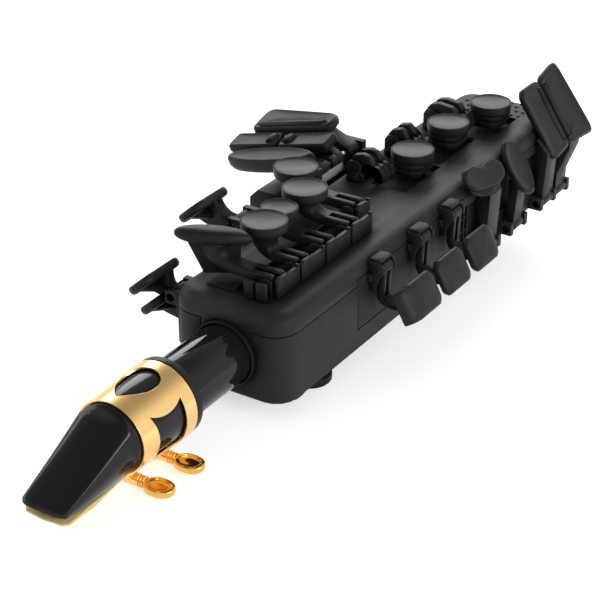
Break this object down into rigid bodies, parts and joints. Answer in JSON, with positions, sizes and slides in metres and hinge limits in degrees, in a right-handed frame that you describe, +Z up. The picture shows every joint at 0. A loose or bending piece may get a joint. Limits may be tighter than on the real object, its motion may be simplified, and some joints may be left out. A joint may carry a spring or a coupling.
{
  "type": "digital wind controller",
  "caption": "Electronic saxophone: box-shaped body with sprung keys, rollers and pearl touches, blown through an alto-size mouthpiece with a reed and a gold ligature.",
  "frame": {"origin": "middle of the flat underside of the body", "axes": "+X from the mouthpiece to the far end of the body, +Y to the player's left, +Z up through the pearl keys"},
  "size_m": [0.2968, 0.1052, 0.0638],
  "materials": {
    "shell": "satin",
    "key": "satin",
    "pearl": "semi-gloss",
    "mouthpiece": "polished",
    "cane": "natural cane",
    "gold": "polished gold plate",
    "dark_gold": "polished gold plate",
    "metal": "nickel",
    "board": "solder mask",
    "cell": "wrapped"
  },
  "bodies": {
    "body": {"top_shell": "shell", "bottom_shell": "shell", "socket_collar": "key", "air_tube": "metal", "left_hand_rail": "key", "hinge_clip_f": "key", "hinge_clip_e": "key", "hinge_clip_d": "key", "side_key_panel": "shell", "table_key_block": "key", "table_rod": "metal", "palm_key_bracket": "key", "thumb_rest": "key", "thumb_hook": "key", "strap_ring": "metal", "circuit_board": "board", "breath_sensor": "cell", "battery": "cell", "speaker": "metal", "usb_socket": "metal"},
    "mouthpiece": {"mouthpiece": "mouthpiece", "reed": "cane", "ligature": "gold"},
    "ligature_screw_front": {"ligature_screw_front": "dark_gold"},
    "ligature_screw_rear": {"ligature_screw_rear": "dark_gold"},
    "front_f_key": {"front_f_key": "key"},
    "b_key": {"b_key": "key", "pearl_b": "pearl"},
    "bis_key": {"bis_key": "key", "pearl_bis": "pearl"},
    "a_key": {"a_key": "key", "pearl_a": "pearl"},
    "g_key": {"g_key": "key", "pearl_g": "pearl"},
    "f_key": {"f_key": "key", "pearl_f": "pearl"},
    "e_key": {"e_key": "key", "pearl_e": "pearl"},
    "d_key": {"d_key": "key", "pearl_d": "pearl"},
    "side_e_key": {"side_e_key": "key"},
    "side_c_key": {"side_c_key": "key"},
    "side_b_flat_key": {"side_b_flat_key": "key"},
    "high_f_sharp_key": {"high_f_sharp_key": "key"},
    "alternate_f_sharp_key": {"alternate_f_sharp_key": "key"},
    "low_e_flat_key": {"low_e_flat_key": "key"},
    "low_c_key": {"low_c_key": "key"},
    "g_sharp_key": {"g_sharp_key": "key"},
    "c_sharp_key": {"c_sharp_key": "key"},
    "low_b_key": {"low_b_key": "key"},
    "low_b_flat_key": {"low_b_flat_key": "key"},
    "palm_d_key": {"palm_d_key": "key"},
    "palm_e_flat_key": {"palm_e_flat_key": "key"},
    "palm_f_key": {"palm_f_key": "key"},
    "octave_key": {"octave_key": "key"},
    "roller_e_flat": {"roller_e_flat": "key"},
    "roller_c": {"roller_c": "key"},
    "table_roller_outer": {"table_roller_outer": "key"},
    "table_roller_inner": {"table_roller_inner": "key"},
    "table_roller_back": {"table_roller_back": "key"}
  },
  "joints": [
    {"name": "mouthpiece_turn", "type": "hinge", "parent": "body", "child": "mouthpiece", "pos_m": [-0.0987, 0, 0.0143], "axis": [1, 0, 0], "continuous": true},
    {"name": "ligature_screw_front_turn", "type": "hinge", "parent": "mouthpiece", "child": "ligature_screw_front", "pos_m": [-0.15178, -0.0131, -0.001], "axis": [0, 1, 0], "continuous": true},
    {"name": "ligature_screw_rear_turn", "type": "hinge", "parent": "mouthpiece", "child": "ligature_screw_rear", "pos_m": [-0.13702, -0.0131, -0.001], "axis": [0, 1, 0], "continuous": true},
    {"name": "front_f_key_hinge", "type": "hinge", "parent": "body", "child": "front_f_key", "pos_m": [-0.08399, -0.00807, 0.0363], "axis": [1, 0, 0], "range_deg": [-5, 0], "stiffness_Nm_per_rad": 0.03, "springref_deg": 14.32},
    {"name": "b_key_hinge", "type": "hinge", "parent": "body", "child": "b_key", "pos_m": [-0.07018, -0.00807, 0.0363], "axis": [1, 0, 0], "range_deg": [-8, 0], "stiffness_Nm_per_rad": 0.03, "springref_deg": 14.32},
    {"name": "bis_key_hinge", "type": "hinge", "parent": "body", "child": "bis_key", "pos_m": [-0.05527, -0.00807, 0.0363], "axis": [1, 0, 0], "range_deg": [-8, 0], "stiffness_Nm_per_rad": 0.03, "springref_deg": 14.32},
    {"name": "a_key_hinge", "type": "hinge", "parent": "body", "child": "a_key", "pos_m": [-0.0396, -0.00807, 0.0363], "axis": [1, 0, 0], "range_deg": [-8, 0], "stiffness_Nm_per_rad": 0.03, "springref_deg": 14.32},
    {"name": "g_key_hinge", "type": "hinge", "parent": "body", "child": "g_key", "pos_m": [-0.02619, -0.00218, 0.0363], "axis": [1, 0, 0], "range_deg": [-8, 0], "stiffness_Nm_per_rad": 0.03, "springref_deg": 14.32},
    {"name": "f_key_hinge", "type": "hinge", "parent": "body", "child": "f_key", "pos_m": [0.00573, 0.01373, 0.0364], "axis": [1, 0, 0], "range_deg": [0, 6], "stiffness_Nm_per_rad": 0.03, "springref_deg": -14.32},
    {"name": "e_key_hinge", "type": "hinge", "parent": "body", "child": "e_key", "pos_m": [0.03198, 0.01373, 0.0364], "axis": [1, 0, 0], "range_deg": [0, 6], "stiffness_Nm_per_rad": 0.03, "springref_deg": -14.32},
    {"name": "d_key_hinge", "type": "hinge", "parent": "body", "child": "d_key", "pos_m": [0.0606, 0.01373, 0.0364], "axis": [1, 0, 0], "range_deg": [0, 6], "stiffness_Nm_per_rad": 0.03, "springref_deg": -14.32},
    {"name": "side_e_key_hinge", "type": "hinge", "parent": "body", "child": "side_e_key", "pos_m": [-0.04422, -0.025, 0.0276], "axis": [1, 0, 0], "range_deg": [0, 8], "stiffness_Nm_per_rad": 0.02, "springref_deg": -14.32},
    {"name": "side_c_key_hinge", "type": "hinge", "parent": "body", "child": "side_c_key", "pos_m": [-0.01895, -0.025, 0.0276], "axis": [1, 0, 0], "range_deg": [0, 8], "stiffness_Nm_per_rad": 0.02, "springref_deg": -14.32},
    {"name": "side_b_flat_key_hinge", "type": "hinge", "parent": "body", "child": "side_b_flat_key", "pos_m": [0.00296, -0.025, 0.0276], "axis": [1, 0, 0], "range_deg": [0, 8], "stiffness_Nm_per_rad": 0.02, "springref_deg": -14.32},
    {"name": "high_f_sharp_key_hinge", "type": "hinge", "parent": "body", "child": "high_f_sharp_key", "pos_m": [0.02981, -0.025, 0.0036], "axis": [1, 0, 0], "range_deg": [-2.4, 0], "stiffness_Nm_per_rad": 0.03, "springref_deg": 14.32},
    {"name": "alternate_f_sharp_key_hinge", "type": "hinge", "parent": "body", "child": "alternate_f_sharp_key", "pos_m": [0.05113, -0.025, 0.0036], "axis": [1, 0, 0], "range_deg": [-2.4, 0], "stiffness_Nm_per_rad": 0.03, "springref_deg": 14.32},
    {"name": "low_e_flat_key_hinge", "type": "hinge", "parent": "body", "child": "low_e_flat_key", "pos_m": [0.076, -0.025, 0.0036], "axis": [1, 0, 0], "range_deg": [-2.4, 0], "stiffness_Nm_per_rad": 0.03, "springref_deg": 14.32},
    {"name": "low_c_key_hinge", "type": "hinge", "parent": "body", "child": "low_c_key", "pos_m": [0.0872, -0.025, 0.0036], "axis": [1, 0, 0], "range_deg": [-2.4, 0], "stiffness_Nm_per_rad": 0.03, "springref_deg": 14.32},
    {"name": "g_sharp_key_hinge", "type": "hinge", "parent": "body", "child": "g_sharp_key", "pos_m": [-0.01155, 0.02027, 0.0386], "axis": [1, 0, 0], "range_deg": [-5, 0], "stiffness_Nm_per_rad": 0.04, "springref_deg": 14.32},
    {"name": "c_sharp_key_hinge", "type": "hinge", "parent": "body", "child": "c_sharp_key", "pos_m": [-0.0044, 0.02027, 0.0386], "axis": [1, 0, 0], "range_deg": [-5, 0], "stiffness_Nm_per_rad": 0.04, "springref_deg": 14.32},
    {"name": "low_b_key_hinge", "type": "hinge", "parent": "body", "child": "low_b_key", "pos_m": [-0.0007, 0.02027, 0.0386], "axis": [1, 0, 0], "range_deg": [-5, 0], "stiffness_Nm_per_rad": 0.04, "springref_deg": 14.32},
    {"name": "low_b_flat_key_hinge", "type": "hinge", "parent": "body", "child": "low_b_flat_key", "pos_m": [0.00821, 0.02027, 0.0386], "axis": [1, 0, 0], "range_deg": [-5, 0], "stiffness_Nm_per_rad": 0.04, "springref_deg": 14.32},
    {"name": "palm_d_key_hinge", "type": "hinge", "parent": "body", "child": "palm_d_key", "pos_m": [-0.08528, 0.0266, 0.0226], "axis": [1, 0, 0], "range_deg": [-7, 0], "stiffness_Nm_per_rad": 0.02, "springref_deg": 14.32},
    {"name": "palm_e_flat_key_hinge", "type": "hinge", "parent": "body", "child": "palm_e_flat_key", "pos_m": [-0.0757, 0.0266, 0.0126], "axis": [1, 0, 0], "range_deg": [-7, 0], "stiffness_Nm_per_rad": 0.02, "springref_deg": 14.32},
    {"name": "palm_f_key_hinge", "type": "hinge", "parent": "body", "child": "palm_f_key", "pos_m": [-0.05073, 0.0266, 0.03401], "axis": [1, 0, 0], "range_deg": [-7, 0], "stiffness_Nm_per_rad": 0.02, "springref_deg": 14.32},
    {"name": "octave_key_hinge", "type": "hinge", "parent": "body", "child": "octave_key", "pos_m": [-0.07896, 0.00785, -0.0036], "axis": [1, 0, 0], "range_deg": [-6, 0], "stiffness_Nm_per_rad": 0.02, "springref_deg": 14.32},
    {"name": "roller_e_flat_spin", "type": "hinge", "parent": "low_e_flat_key", "child": "roller_e_flat", "pos_m": [0.0874, -0.02032, 0.03307], "axis": [0, 0.5592, 0.829], "continuous": true},
    {"name": "roller_c_spin", "type": "hinge", "parent": "low_c_key", "child": "roller_c", "pos_m": [0.0916, -0.02032, 0.03307], "axis": [0, 0.5592, 0.829], "continuous": true},
    {"name": "table_roller_outer_spin", "type": "hinge", "parent": "c_sharp_key", "child": "table_roller_outer", "pos_m": [-0.00238, 0.04586, 0.04017], "axis": [0.9781, 0.0503, 0.2017], "continuous": true},
    {"name": "table_roller_inner_spin", "type": "hinge", "parent": "low_b_key", "child": "table_roller_inner", "pos_m": [-0.00238, 0.03866, 0.04165], "axis": [0.9781, 0.0503, 0.2017], "continuous": true},
    {"name": "table_roller_back_spin", "type": "hinge", "parent": "low_b_flat_key", "child": "table_roller_back", "pos_m": [0.00523, 0.04237, 0.04409], "axis": [0, 0.9703, -0.2419], "continuous": true}
  ]
}
